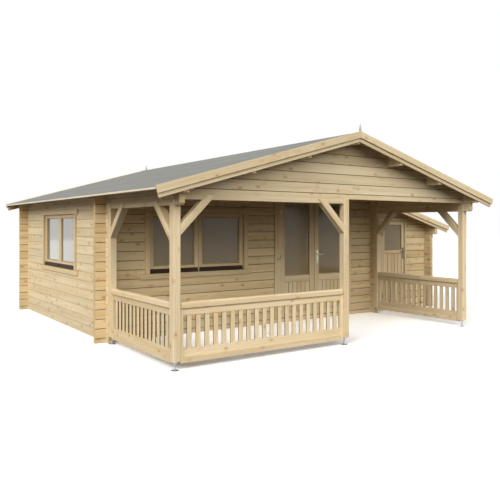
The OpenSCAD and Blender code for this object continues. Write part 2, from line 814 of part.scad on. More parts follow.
// Door frame over the sill log, in the front wall: lining, and casings on both faces
module door_frame(left, width, top, board_w) {
  color(board_colour) set_out() translate([left + width / 2, 0, 0]) {
    boards_around(width, sill_z, top, board_w, -casing_t - fit, -fit, 0, false);
    boards_around(width, sill_z, top, lining_t, 0, log_t, 0, false);
    boards_around(width, sill_z, top, board_w, log_t + fit, log_t + fit + casing_t, 0, false);
  }
}

module main_door_frame() { door_frame(door_left, door_w, door_top, door_casing_w); }

module annex_door_frame() { door_frame(annex_door_left, annex_door_w, annex_door_top, annex_casing_w); }

// Leaf from its left edge: stiles and rails around the glass and the boarded lower panel
module leaf(width, height, stile, glass_low, lock_h) {
  light = [width - 2 * stile, leaf_t + 2 * fit, height - stile - (glass_low - leaf_z)];
  panel_top = glass_low - lock_h;
  panel_low = leaf_z + stile;
  color(board_colour) {
    difference() {
      translate([0, leaf_y, leaf_z]) cube([width, leaf_t, height]);
      translate([stile, leaf_y - fit, glass_low]) cube(light);
      block([stile, leaf_y - fit, panel_low], [width - stile, leaf_y + leaf_t + fit, panel_top]);
    }
    translate([stile + fit, leaf_y + (leaf_t - panel_t) / 2, panel_low + fit])
      cube([width - 2 * stile - 2 * fit, panel_t, panel_top - panel_low - 2 * fit]);
  }
}

module leaf_glass(width, height, stile, glass_low) {
  color(glass_colour) translate([stile + fit, leaf_y + (leaf_t - pane_t) / 2, glass_low + fit])
    cube([width - 2 * stile - 2 * fit, pane_t, leaf_z + height - stile - glass_low - 2 * fit]);
}

// Barrels on a leaf's left edge, each with an arm and a plate on the leaf's face
module leaf_hinges(heights) {
  axis_x = -leaf_gap / 2;
  face = leaf_y - fit;
  color(steel_colour) for (z = heights) union() {
    translate([axis_x, axis_y, z]) cylinder(h = barrel_h, r = barrel_r);
    block([0, axis_y, z], [hinge_t, face, z + barrel_h]);
    block([0, face - hinge_t, z], [hinge_plate, face, z + barrel_h]);
  }
}

// Barrels under the leaf's own, each with a plate on the casing
module casing_hinges(heights) {
  axis_x = -leaf_gap / 2;
  face = -casing_t - 2 * fit;
  color(steel_colour) for (z = heights) union() {
    translate([axis_x, axis_y, z - fit - barrel_h]) cylinder(h = barrel_h, r = barrel_r);
    block([axis_x - hinge_plate, face - hinge_t, z - fit - barrel_h], [axis_x, face, z - fit]);
  }
}

// Places what is drawn for a leaf: the right leaf is the left one mirrored
module at_left_leaf() { set_out() translate([door_x, 0, 0]) children(); }

module at_right_leaf() { set_out() translate([door_right - leaf_gap, 0, 0]) mirror([1, 0, 0]) children(); }

module at_annex_leaf() { set_out() translate([annex_door_x, 0, 0]) children(); }

module main_leaf() { leaf(leaf_w, leaf_h, leaf_stile, door_glass_z, lock_rail_h); }

module main_leaf_glass() { leaf_glass(leaf_w, leaf_h, leaf_stile, door_glass_z); }

module left_door_leaf() { at_left_leaf() main_leaf(); }

module left_door_glass() { at_left_leaf() main_leaf_glass(); }

module left_door_hinges() { at_left_leaf() leaf_hinges(main_hinge_z); }

module right_door_leaf() { at_right_leaf() main_leaf(); }

module right_door_glass() { at_right_leaf() main_leaf_glass(); }

module right_door_hinges() { at_right_leaf() leaf_hinges(main_hinge_z); }

module annex_door_leaf() {
  at_annex_leaf() leaf(annex_leaf_w, annex_leaf_h, annex_stile, annex_glass_z, annex_stile);
}

module annex_door_glass() { at_annex_leaf() leaf_glass(annex_leaf_w, annex_leaf_h, annex_stile, annex_glass_z); }

module annex_door_hinges() { at_annex_leaf() leaf_hinges(annex_hinge_z); }

module frame_hinges() {
  at_left_leaf() casing_hinges(main_hinge_z);
  at_right_leaf() casing_hinges(main_hinge_z);
  at_annex_leaf() casing_hinges(annex_hinge_z);
}

// Lever handle on a face at y = 0 that looks along -Y: back plate, neck and lever along +X
module lever_handle() {
  half = handle_plate_w / 2;
  ends = [half - handle_below, handle_plate_h - handle_below - half];
  union() {
    block([-half, -handle_plate_t, ends[0]], [half, 0, ends[1]]);
    for (z = ends) translate([0, 0, z]) rotate([90, 0, 0]) cylinder(h = handle_plate_t, r = half);
    rotate([90, 0, 0]) cylinder(h = lever_reach + lever_neck_r, r = lever_neck_r);
    translate([0, -lever_reach, 0]) rotate([0, 90, 0]) cylinder(h = lever_l, r = lever_r);
    translate([lever_l, -lever_reach, 0]) sphere(r = lever_r);
  }
}

// Handles on both faces of a leaf
module handle_pair(x, toward) {
  translate([x, leaf_y - fit, lever_z]) mirror([toward, 0, 0]) lever_handle();
  translate([x, leaf_y + leaf_t + fit, lever_z]) mirror([0, 1, 0]) mirror([toward, 0, 0]) lever_handle();
}

module right_door_handle() {
  color(steel_colour) at_right_leaf() handle_pair(leaf_w - handle_inset, 1);
}

module annex_door_handle() {
  color(bronze_colour) at_annex_leaf() handle_pair(annex_leaf_w - annex_stile / 2, 1);
}

// Boarded floor on joists inside a room
module room_floor(x0, x1) {
  y0 = log_t + casing_t + 2 * fit;
  y1 = room_d - log_t - fit;
  count = floor((y1 - y0) / joist_pitch);
  step = (y1 - y0 - joist_h) / count;
  block([x0, y0, joist_h + fit], [x1, y1, joist_h + floor_t]);
  for (i = [0 : count]) block([x0, y0 + i * step, 0], [x1, y0 + i * step + joist_h, joist_h]);
}

module room_floors() {
  color(board_colour) set_out() {
    room_floor(log_t + fit, main_w - log_t - fit);
    room_floor(main_w + fit, annex_x - log_t - fit);
  }
}

left_wall();
right_wall();
front_wall();
rear_wall();
annex_wall();
veranda_gable();
left_eave_logs();
right_eave_logs();
roof_purlins();
roof_boards_left();
roof_boards_right();
annex_roof_boards();
roof_felt();
eave_fascias();
front_bargeboards();
rear_bargeboards();
annex_bargeboard();
verge_boards();
gable_finials();
veranda_posts();
post_feet();
knee_braces();
left_balustrade();
front_balustrade();
right_balustrade();
front_window_frame();
left_window_frame();
window_sashes();
window_glass();
window_drip_bars();
main_door_frame();
left_door_leaf();
left_door_glass();
left_door_hinges();
right_door_leaf();
right_door_glass();
right_door_hinges();
right_door_handle();
annex_door_frame();
annex_door_leaf();
annex_door_glass();
annex_door_hinges();
annex_door_handle();
frame_hinges();
room_floors();
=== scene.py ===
import math
import random

import bmesh
import bpy
from mathutils import Matrix, Vector


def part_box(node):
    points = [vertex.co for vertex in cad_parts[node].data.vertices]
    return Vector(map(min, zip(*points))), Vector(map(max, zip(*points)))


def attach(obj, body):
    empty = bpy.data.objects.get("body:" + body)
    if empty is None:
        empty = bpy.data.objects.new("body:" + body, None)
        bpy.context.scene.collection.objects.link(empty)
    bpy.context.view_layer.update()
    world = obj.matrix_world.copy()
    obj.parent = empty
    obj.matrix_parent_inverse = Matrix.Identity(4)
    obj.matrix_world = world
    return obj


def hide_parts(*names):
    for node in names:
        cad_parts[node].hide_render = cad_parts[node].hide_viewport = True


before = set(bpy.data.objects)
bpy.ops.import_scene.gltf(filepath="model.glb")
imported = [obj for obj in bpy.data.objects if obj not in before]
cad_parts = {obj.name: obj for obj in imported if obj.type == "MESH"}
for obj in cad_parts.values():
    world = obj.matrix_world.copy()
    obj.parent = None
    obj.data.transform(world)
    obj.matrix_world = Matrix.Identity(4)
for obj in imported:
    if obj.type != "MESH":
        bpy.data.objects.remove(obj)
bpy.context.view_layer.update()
chance = random.Random(1907)

# Sizes in metres: the construction's, and finer ones of the scene's own
PITCH = math.radians(15.6)
SLOPE = math.tan(PITCH)
ROOF_BOARD_W = 0.096
FELT_ROLL_W = 1.0
FELT_LAP = 0.08
FELT_T = 0.003
RIDGE_CAP = 0.16
FIT = 0.0003
ARRIS = 0.0025
BRACE_ARRIS = 0.003
BEAM_ARRIS = 0.004

RAIL_H = 0.083
RAIL_BEVEL = 0.016
BOTTOM_RAIL_H = 0.070
STILE_T = 0.058
STILE_W = 0.045
UPPER_INNER_H = 0.073
LOWER_INNER_H = 0.088
INNER_RAIL_T = 0.034
SLAT_T = 0.018
SLAT_W = 0.062
FRONT_SLATS = 20
SIDE_SLATS = 14

GLASS_W = 0.697
GLASS_H = 0.740
SASH_STILE = 0.070
SASH_TOP = 0.055
SASH_BOTTOM = 0.107
SASH_T = 0.045
SASH_SETBACK = 0.040
CASING_T = 0.022
BEAD_W = 0.012
BEAD_D = 0.014
BEAD_BEVEL = 0.005
HALF_PANE = 0.0035

LEAF_STILE = 0.105
LEAF_GLASS_Z = 0.793
LOCK_RAIL_H = 0.113
ANNEX_STILE = 0.068
ANNEX_GLASS_Z = 1.175
PANEL_T = 0.022
PANEL_BOARD_W = 0.092
PANEL_BEVEL = 0.005

POST_HALF = 0.0485
FOOT_PLATE = 0.006
FOOT_R = 0.048
FOOT_EDGE = 0.001
FOOT_ROUND = 0.0015
FOOT_STEPS = 32
HEAD_INSET = 0.006
HEAD_R = POST_HALF - HEAD_INSET
ROD_R = 0.011
WELD_W = 0.006
WELD_H = 0.004
COLLAR_T = 0.001
COLLAR_H = 0.012
NUT_R = 1.8 * ROD_R
NUT_H = 0.018
THREAD_PITCH = 0.004
THREAD_D = 0.0012

FLOOR_BOARD_W = 0.120
FLOOR_T = 0.020
FLOOR_ARRIS = 0.002
JOIST_W = 0.044
JOIST_PITCH = 0.600

ALONG_X = Vector((1, 0, 0))
ALONG_Y = Vector((0, 1, 0))
ALONG_Z = Vector((0, 0, 1))

# Distances below which points are one, and angles at which faces are one or meet at a sharp edge
MERGE = 1e-6
POLE_MERGE = 1e-5
FLAT = math.radians(0.4)
SHARP = 0.5

# What counts as a board's end, long face, bevel and side, by the cosine of a face's tilt
END_TILT = 0.6
LONG_TILT = 0.1
BEVEL_TILT = 0.4
SIDE_TILT = 0.9
BEVEL_SHARE = 0.3

# How much the tone of single boards differs
BOARD_SPREAD = 0.06
SIDE_LOG_SPREAD = 0.08
FRONT_LOG_SPREAD = 0.09
GABLE_LOG_SPREAD = 0.07
CASING_SPREAD = 0.07
ROOF_SPREAD = 0.07
FLOOR_SPREAD = 0.08
JOINERY_SPREAD = 0.05
BEAD_SPREAD = 0.04

# A board's pith lies beside it, and its grain starts anywhere along a long trunk
TRUNK = 60
PITH_NEAR = 0.02
PITH_FAR = 0.09
PITH_UP = 0.06

# Studio and camera
GLOW_HEIGHT = 0.35
ZENITH_HEIGHT = 0.85
FLOOR_HALF = 60
SUN_COLOUR = (1.0, 0.985, 0.955)
CAMERA_PLACE = (-6.6184, -9.1806, 1.6550)
CAMERA_TURN = -0.6064
CAMERA_LENS = 43.098
CAMERA_SENSOR = 36
CAMERA_SHIFT = -0.0484


def srgb(red, green, blue):
    """Linear colour with alpha from 0 to 255 display values."""
    def linear(value):
        share = value / 255
        return share / 12.92 if share <= 0.04045 else ((share + 0.055) / 1.055) ** 2.4
    return (linear(red), linear(green), linear(blue), 1.0)


# Node helpers

def add_node(tree, kind, settings=None, **inputs):
    node = tree.nodes.new(kind)
    for key, value in (settings or {}).items():
        setattr(node, key, value)
    for key, value in inputs.items():
        plug(tree, node.inputs[key.replace("_", " ")], value)
    return node


def plug(tree, socket, value):
    if isinstance(value, bpy.types.NodeSocket):
        tree.links.new(value, socket)
    else:
        socket.default_value = value


def maths(tree, operation, first, second):
    node = tree.nodes.new("ShaderNodeMath")
    node.operation = operation
    plug(tree, node.inputs[0], first)
    plug(tree, node.inputs[1], second)
    return node.outputs[0]


def vector_maths(tree, operation, first, second):
    node = tree.nodes.new("ShaderNodeVectorMath")
    node.operation = operation
    plug(tree, node.inputs[0], first)
    plug(tree, node.inputs[1], second)
    return node.outputs[0]


def scaled(tree, vector, scale):
    return vector_maths(tree, "MULTIPLY", vector, scale)


def summed(tree, first, second):
    return vector_maths(tree, "ADD", first, second)


def remap(tree, value, low, high, to_low=0.0, to_high=1.0):
    node = tree.nodes.new("ShaderNodeMapRange")
    for socket, setting in zip(node.inputs, (value, low, high, to_low, to_high)):
        plug(tree, socket, setting)
    return node.outputs[0]


def mixed(tree, factor, first, second, blend="MIX"):
    node = tree.nodes.new("ShaderNodeMix")
    node.data_type = "RGBA"
    node.blend_type = blend
    plug(tree, node.inputs[0], factor)
    plug(tree, node.inputs[6], first)
    plug(tree, node.inputs[7], second)
    return node.outputs[2]


def grey(tree, value):
    """A brightness as a colour, to multiply with."""
    node = tree.nodes.new("ShaderNodeCombineColor")
    for socket in node.inputs:
        plug(tree, socket, value)
    return node.outputs[0]


def noise(tree, vector, scale, detail=2.0, roughness=0.5):
    node = add_node(tree, "ShaderNodeTexNoise", Vector=vector, Scale=scale, Detail=detail,
                    Roughness=roughness)
    return node.outputs["Fac"]


def carried(tree, name, output):
    """A value that the boards of a mesh carry with them."""
    return add_node(tree, "ShaderNodeAttribute", {"attribute_name": name}).outputs[output]


def new_finish(name):
    finish = bpy.data.materials.new(name)
    finish.use_nodes = True
    tree = finish.node_tree
    return finish, tree, tree.nodes["Principled BSDF"]


def bumped(tree, shader, height, strength, distance):
    bump = add_node(tree, "ShaderNodeBump", Height=height, Strength=strength, Distance=distance)
    tree.links.new(bump.outputs[0], shader.inputs["Normal"])


# Finishes

def pine_finish(name, pale, late, knot_share, groove_dark):
    """Planed pine: rings around each board's own pith, streaks, knots, darker end grain and painted shade on
    marked faces.
    """
    finish, tree, shader = new_finish(name)
    grain = carried(tree, "grain", "Vector")
    tone = carried(tree, "tone", "Fac")
    end = carried(tree, "end_grain", "Fac")
    groove = carried(tree, "groove", "Fac")

    knots = add_node(tree, "ShaderNodeTexVoronoi", Vector=scaled(tree, grain, (0.55, 1, 1)), Scale=8.5)
    knot_gap = knots.outputs["Distance"]
    knot_core = remap(tree, knot_gap, 0.12, 0.05, 0.0, 0.75 * knot_share)
    knot_halo = remap(tree, knot_gap, 0.32, 0.10, 0.0, knot_share)

    wander = add_node(tree, "ShaderNodeTexNoise", Vector=scaled(tree, grain, (0.9, 3, 3)), Scale=1.0,
                      Detail=2.0)
    drift = scaled(tree, wander.outputs["Color"], (0.0, 0.045, 0.045))
    bulge = scaled(tree, grey(tree, knot_halo), (0.0, 0.012, 0.012))
    ringed = summed(tree, summed(tree, grain, drift), bulge)
    rings = add_node(tree, "ShaderNodeTexWave",
                     {"wave_type": "RINGS", "rings_direction": "X", "wave_profile": "SAW"},
                     Vector=ringed, Scale=30.0, Distortion=0.6, Detail=2.0)
    late_wood = maths(tree, "POWER", rings.outputs["Fac"], 2.0)
    streaks = noise(tree, scaled(tree, grain, (0.6, 14, 14)), 1.0, 3.0, 0.6)
    fibres = noise(tree, scaled(tree, grain, (9, 320, 320)), 1.0, 2.0, 0.6)
    clouds = noise(tree, scaled(tree, grain, (1.6, 6, 6)), 1.0, 2.0)

    colour = mixed(tree, maths(tree, "MULTIPLY", late_wood, 0.5), pale, late)
    colour = mixed(tree, remap(tree, streaks, 0.42, 0.74, 0.0, 0.7), colour, late)
    colour = mixed(tree, remap(tree, clouds, 0.5, 0.75, 0.0, 0.4), colour, srgb(216, 201, 166))
    colour = mixed(tree, maths(tree, "MULTIPLY", knot_halo, 0.4), colour, srgb(188, 148, 98))
    colour = mixed(tree, knot_core, colour, srgb(150, 108, 66))
    colour = mixed(tree, 1.0, colour, grey(tree, remap(tree, fibres, 0.2, 0.8, 0.95, 1.04)), "MULTIPLY")
    colour = mixed(tree, 1.0, colour, grey(tree, tone), "MULTIPLY")
    colour = mixed(tree, end, colour, mixed(tree, 1.0, colour, (0.86, 0.80, 0.70, 1), "MULTIPLY"))
    # Painted shade: marked bevels and sides are darkened and warmed, standing in for the shade in joints, at
    # edges and in narrow gaps.
    shade = (groove_dark, groove_dark * 0.82, groove_dark * 0.62, 1)
    colour = mixed(tree, groove, colour, mixed(tree, 1.0, colour, shade, "MULTIPLY"))
    plug(tree, shader.inputs["Base Color"], colour)
    plug(tree, shader.inputs["Roughness"], remap(tree, streaks, 0.2, 0.8, 0.52, 0.68))
    shader.inputs["Specular IOR Level"].default_value = 0.18
    relief = maths(tree, "ADD", maths(tree, "MULTIPLY", fibres, 0.6), maths(tree, "MULTIPLY", late_wood, 0.5))
    bumped(tree, shader, relief, 0.25, 0.0012)
    return finish


def felt_finish():
    """Grey roofing felt with fine mineral grains."""
    finish, tree, shader = new_finish("grey_mineral_felt")
    place = add_node(tree, "ShaderNodeTexCoord").outputs["Object"]
    grains = add_node(tree, "ShaderNodeTexVoronoi", Vector=place, Scale=420.0)
    grain_tone = add_node(tree, "ShaderNodeSeparateColor", Color=grains.outputs["Color"]).outputs[0]
    patches = noise(tree, place, 1.3, 3.0, 0.6)
    runs = noise(tree, scaled(tree, place, (0.8, 14, 0.8)), 1.0, 2.0)
    colour = mixed(tree, grain_tone, srgb(125, 126, 122), srgb(147, 148, 143))
    shade = maths(tree, "MULTIPLY", remap(tree, patches, 0.25, 0.75, 0.94, 1.05),
                  remap(tree, runs, 0.2, 0.8, 0.97, 1.03))
    colour = mixed(tree, 1.0, colour, grey(tree, shade), "MULTIPLY")
    plug(tree, shader.inputs["Base Color"], colour)
    plug(tree, shader.inputs["Roughness"], remap(tree, grain_tone, 0.0, 1.0, 0.82, 0.95))
    shader.inputs["Specular IOR Level"].default_value = 0.25
    bumped(tree, shader, grains.outputs["Distance"], 0.5, 0.0015)
    return finish


def metal_finish(name, dark, pale, rough, metallic=1.0, shine=0.5):
    """Metal or metal paint with faint brushing and handling marks."""
    finish, tree, shader = new_finish(name)
    place = add_node(tree, "ShaderNodeTexCoord").outputs["Object"]
    strokes = noise(tree, scaled(tree, place, (40, 40, 400)), 1.0, 2.0)
    blotches = noise(tree, place, 26.0, 3.0)
    plug(tree, shader.inputs["Base Color"], mixed(tree, remap(tree, blotches, 0.3, 0.7), dark, pale))
    plug(tree, shader.inputs["Roughness"], remap(tree, strokes, 0.2, 0.8, rough - 0.07, rough + 0.09))
    shader.inputs["Metallic"].default_value = metallic
    shader.inputs["Specular IOR Level"].default_value = shine
    bumped(tree, shader, strokes, 0.12, 0.0004)
    return finish


def glass_finish(name, dark, pale, rough, through, coat, shine):
    """Glazing with a faint haze and a reflecting outer face, whose colour is painted, standing in for the dim
    rooms behind the glass and for reflections in it.
    """
    finish, tree, shader = new_finish(name)
    place = add_node(tree, "ShaderNodeTexCoord").outputs["Object"]
    haze = noise(tree, place, 1.6, 3.0)
    plug(tree, shader.inputs["Base Color"], mixed(tree, remap(tree, haze, 0.3, 0.7), dark, pale))
    plug(tree, shader.inputs["Roughness"], remap(tree, haze, 0.3, 0.7, rough, rough + 0.03))
    shader.inputs["IOR"].default_value = 1.52
    shader.inputs["Transmission Weight"].default_value = through
    shader.inputs["Specular IOR Level"].default_value = shine
    shader.inputs["Coat Weight"].default_value = coat
    shader.inputs["Coat IOR"].default_value = 1.5
    shader.inputs["Coat Roughness"].default_value = 0.08
    return finish


# For each look: its name, early wood, late wood, share of knots and brightness of its painted shade
PINE_LOOKS = {
    "log_pine": ("planed_log_pine", (231, 215, 181), (208, 180, 132), 1.0, 0.8),
    # Copies of log_pine for walls in shade, with deeper painted shade in their joints; the first is also
    # darker and more saturated, painted shade on the whole wall.
    "painted_shade_log_pine": ("painted_shade_log_pine", (228, 207, 165), (203, 169, 114), 1.0, 0.3),
    "gable_log_pine": ("gable_log_pine", (221, 205, 172), (197, 169, 123), 1.0, 0.35),
    "post_pine": ("planed_post_pine", (230, 212, 177), (208, 177, 127), 0.8, 0.15),
    "board_pine": ("planed_board_pine", (220, 204, 171), (197, 169, 123), 0.8, 0.55),
    "joinery_pine": ("planed_joinery_pine", (225, 205, 166), (202, 170, 120), 0.35, 0.28),
    "fascia_pine": ("pale_fascia_pine", (240, 232, 214), (224, 210, 184), 0.3, 0.55),
    "floor_pine": ("floor_board_pine", (208, 184, 138), (186, 150, 100), 0.7, 0.55),
}
PINE = {look: pine_finish(name, srgb(*pale), srgb(*late), knots, groove)
        for look, (name, pale, late, knots, groove) in PINE_LOOKS.items()}
FELT = felt_finish()
GALVANISED = metal_finish("galvanised_steel", srgb(160, 162, 163), srgb(196, 197, 197), 0.45)
HINGE_STEEL = metal_finish("matt_hinge_steel", srgb(180, 160, 120), srgb(198, 178, 138), 0.5, 0.2, 0.2)
HANDLE_STEEL = metal_finish("satin_handle_steel", srgb(168, 164, 156), srgb(196, 192, 184), 0.36)
DARK_BRONZE = metal_finish("dark_bronze_paint", srgb(46, 31, 20), srgb(60, 43, 29), 0.6, 0.0, 0.15)
DULL_BRONZE = metal_finish("dull_bronze", srgb(98, 86, 70), srgb(122, 108, 90), 0.5, 0.5)
GREY_PAINT = metal_finish("matt_grey_paint", srgb(150, 156, 146), srgb(172, 177, 168), 0.55, 0.0)
# The warm brown colour of this mostly opaque glazing is painted shade, standing in for the dim rooms behind
# the glass; its coat reflects for real.
GLAZING = glass_finish("painted_shade_glazing", srgb(140, 120, 80), srgb(147, 126, 85),
                       rough=0.22, through=0.25, coat=0.4, shine=0.2)
# The left panes' copy reflects through its strong coat, and its greyer colour is a painted reflection of a
# bright surrounding.
PAINTED_REFLECTION_GLAZING = glass_finish("painted_reflection_glazing", srgb(138, 131, 119), srgb(146, 139, 128),
                              rough=0.06, through=0.15, coat=1.0, shine=0.5)


# Grained meshes: every board carries its own grain frame and tone

def mesh_data(name, mesh):
    """Turns a finished bmesh into mesh data."""
    data = bpy.data.meshes.new(name)
    mesh.to_mesh(data)
    mesh.free()
    return data


class Timber:
    """A joined mesh of boards, each with a grain frame, a tone and marks for end grain and for painted shade.
    """

    def __init__(self):
        self.mesh = bmesh.new()
        self.grain = self.mesh.verts.layers.float_vector.new("grain")
        self.tone = self.mesh.verts.layers.float.new("tone")
        self.end = self.mesh.faces.layers.float.new("end_grain")
        self.groove = self.mesh.faces.layers.float.new("groove")

    def stamp(self, verts, faces, along, spread, grooved):
        """Writes one board's grain frame: along its length, with a pith of its own."""
        across = along.cross(ALONG_Z if abs(along.z) < SIDE_TILT else ALONG_X).normalized()
        upward = across.cross(along).normalized()
        centre = sum((v.co for v in verts), Vector()) / len(verts)
        start = chance.uniform(0, TRUNK)
        pith_across = chance.choice((-1, 1)) * chance.uniform(PITH_NEAR, PITH_FAR)
        pith_upward = chance.uniform(-PITH_UP, PITH_UP)
        tone = 1 + chance.uniform(-spread, spread)
        for v in verts:
            out = v.co - centre
            v[self.grain] = Vector((out.dot(along) + start, out.dot(across) + pith_across,
                                    out.dot(upward) + pith_upward))
            v[self.tone] = tone
        for face in faces:
            slant = abs(face.normal.dot(along))
            face[self.end] = 1.0 if slant > END_TILT else 0.0
            # Bevels between long faces are marked for painted shade, standing in for the shade in joints and
            # at broken edges.
            tilts = sorted((abs(face.normal.dot(across)), abs(face.normal.dot(upward))))
            bevel = slant < LONG_TILT and tilts[0] > BEVEL_TILT
            face[self.groove] = 1.0 if grooved and bevel else 0.0

    def board(self, low, high, along, arris=ARRIS, spread=BOARD_SPREAD, place=None, shaded_sides=None, grooved=False):
        """A squared board between two corners, with broken edges. Those, or its sides that face one given
        way, may get painted shade.
        """
        low, high = Vector(low), Vector(high)
        size = high - low
        made = bmesh.ops.create_cube(self.mesh, size=1.0)["verts"]
        bmesh.ops.scale(self.mesh, verts=made, vec=size)
        bmesh.ops.translate(self.mesh, verts=made, vec=(low + high) / 2)
        edges = list({e for v in made for e in v.link_edges})
        width = min(arris, BEVEL_SHARE * min(size))
        bevelled = bmesh.ops.bevel(self.mesh, geom=edges, offset=width, affect="EDGES", segments=1,
                                   profile=0.5, material=-1)
        verts = list({v for f in bevelled["faces"] for v in f.verts})
        faces = list({f for v in verts for f in v.link_faces})
        verts = list({v for f in faces for v in f.verts})
        if place is not None:
            bmesh.ops.transform(self.mesh, matrix=place, verts=verts)
            along = (place.to_3x3() @ along).normalized()
        for face in faces:
            face.normal_update()
        self.stamp(verts, faces, along, spread, grooved)
        # Sides facing the given way get painted shade, as the narrow gaps between close boards lie in shade.
        if shaded_sides is not None:
            for face in faces:
                if abs(face.normal.dot(shaded_sides)) > SIDE_TILT:
                    face[self.groove] = 1.0

    def copy_solids(self, node, ways, spread, grooved, arris):
        """Copies a node's solids, each stamped along the way in which it reaches furthest."""
        source = bmesh.new()
        source.from_mesh(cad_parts[node].data)
        bmesh.ops.remove_doubles(source, verts=source.verts, dist=MERGE)
        bmesh.ops.dissolve_limit(source, angle_limit=FLAT, verts=source.verts, edges=source.edges)
        if arris:
            sharp = [e for e in source.edges if len(e.link_faces) == 2 and e.calc_face_angle() > SHARP]
            bmesh.ops.bevel(source, geom=sharp, offset=arris, affect="EDGES", segments=1, profile=0.5,
                            material=-1, clamp_overlap=True)
        copied = mesh_data("copied_solids", source)
        known = set(self.mesh.faces)
        self.mesh.from_mesh(copied)
        bpy.data.meshes.remove(copied)
        fresh = [f for f in self.mesh.faces if f not in known]
        for solid in islands(fresh):
            verts = list({v for f in solid for v in f.verts})
            self.stamp(verts, solid, longest(verts, ways), spread, grooved)

    def finish(self, name, slot, body, *nodes, look=None):
        """Makes the boards one piece, in the place of some nodes."""
        self.mesh.normal_update()
        placed(name, mesh_data(name, self.mesh), PINE[look or slot], body, nodes)


def placed(name, data, finish, body, nodes):
    """A piece that rides on a body, in the place of some nodes."""
    piece = bpy.data.objects.new(name, data)
    bpy.context.scene.collection.objects.link(piece)
    data.materials.append(finish)
    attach(piece, body)
    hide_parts(*nodes)


def islands(faces):
    """Groups of faces that hang together."""
    left = set(faces)
    groups = []
    while left:
        stack = [left.pop()]
        group = []
        while stack:
            face = stack.pop()
            group.append(face)
            for edge in face.edges:
                for other in edge.link_faces:
                    if other in left:
                        left.remove(other)
                        stack.append(other)
        groups.append(group)
    groups.sort(key=group_middle)
    return groups


def group_middle(group):
    """The middle of a group's corners, summed exactly so that each run gives the same order."""
    verts = {v for f in group for v in f.verts}
    return tuple(round(math.fsum(v.co[axis] for v in verts) / len(verts), 4) for axis in range(3))


SQUARE_WAYS = (ALONG_X, ALONG_Y, ALONG_Z)
SLOPE_WAYS = tuple(Vector((1, 0, rise)).normalized() for rise in (SLOPE, -SLOPE))
BRACE_WAYS = tuple(Vector(way).normalized() for way in ((1, 0, 1), (1, 0, -1), (0, 1, 1), (0, 1, -1)))


def longest(verts, ways):
    """The one of some directions in which a solid reaches furthest."""
    def reach(way):
        along = [v.co.dot(way) for v in verts]
        return max(along) - min(along)
    return max(ways, key=reach)


def dress(name, slot, node, ways, spread=BOARD_SPREAD, grooved=False, arris=0.0, look=None):
    """A grained copy of a node that keeps its shape, apart from broken edges."""
    timber = Timber()
    timber.copy_solids(node, ways, spread, grooved, arris)
    timber.finish(name, slot, "cabin", node, look=look)


# Log walls and beams

# Log joints get painted shade on their bevels.
for wall in ("left_wall", "right_wall", "annex_wall", "left_eave_logs", "right_eave_logs"):
    dress(wall + "_grained", "log_pine", wall, (ALONG_Y,), SIDE_LOG_SPREAD, grooved=True)
# The front and rear walls take the darker copy, whose colour and deeper joint shade are painted shade.
for wall in ("front_wall", "rear_wall"):
    dress(wall + "_grained", "log_pine", wall, (ALONG_X,), FRONT_LOG_SPREAD, grooved=True,
          look="painted_shade_log_pine")
# The gable takes a copy with deeper painted shade in its joints.
dress("veranda_gable_grained", "log_pine", "veranda_gable", (ALONG_X,), GABLE_LOG_SPREAD, grooved=True,
      look="gable_log_pine")
dress("purlin_beams", "log_pine", "roof_purlins", (ALONG_Y,), arris=BEAM_ARRIS)

# Trim, posts and casings

dress("eave_fascias_grained", "board_pine", "eave_fascias", (ALONG_Y,), arris=ARRIS, look="fascia_pine")
for trim in ("front_bargeboards", "rear_bargeboards", "annex_bargeboard", "verge_boards"):
    dress(trim + "_grained", "board_pine", trim, SLOPE_WAYS, arris=ARRIS)
dress("square_posts", "post_pine", "veranda_posts", (ALONG_Z,))
dress("braces", "post_pine", "knee_braces", BRACE_WAYS, arris=BRACE_ARRIS)
# The casings' broken edges get painted shade, standing in for the shade lines around sashes and leaves.
for casing in ("front_window_frame", "left_window_frame", "main_door_frame", "annex_door_frame"):
    dress(casing + "_boards", "joinery_pine", casing, SQUARE_WAYS, CASING_SPREAD, grooved=True, arris=ARRIS)


# Roof boards and felt

def sheared(rise_start, slope):
    """Lifts a level sheet to a roof slope that has the height rise_start at x = 0."""
    return Matrix(((1, 0, 0, 0), (0, 1, 0, 0), (slope, 0, 1, rise_start), (0, 0, 0, 1)))


def roof_boarding(name, node, slope):
    """Boards side by side from eave to ridge, in the place of a plain sheet."""
    low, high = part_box(node)
    eave_x = low.x if slope > 0 else high.x
    thick = high.z - low.z - SLOPE * (high.x - low.x)
    count = round((high.y - low.y) / ROOF_BOARD_W)
    width = (high.y - low.y) / count
    timber = Timber()
    place = sheared(low.z - slope * eave_x, slope)
    for i in range(count):
        start = low.y + i * width
        timber.board((low.x, start + FIT, 0), (high.x, start + width - FIT, thick), ALONG_X,
                     BEAM_ARRIS, ROOF_SPREAD, place)
    timber.finish(name, "board_pine", "cabin", node)


roof_boarding("left_roof_boarding", "roof_boards_left", SLOPE)
roof_boarding("right_roof_boarding", "roof_boards_right", -SLOPE)
roof_boarding("annex_roof_boarding", "annex_roof_boards", -SLOPE)


def felt_strip(mesh, x0, x1, y0, y1, z0, z1):
    """A strip of felt between two heights, which may lie a little over the strip below it."""
    made = bmesh.ops.create_cube(mesh, size=1.0)["verts"]
    bmesh.ops.scale(mesh, verts=made, vec=(x1 - x0, y1 - y0, FELT_T))
    bmesh.ops.translate(mesh, verts=made, vec=((x0 + x1) / 2, (y0 + y1) / 2, FELT_T / 2))
    slope = (z1 - z0) / (x1 - x0)
    bmesh.ops.transform(mesh, matrix=sheared(z0 - slope * x0, slope), verts=made)


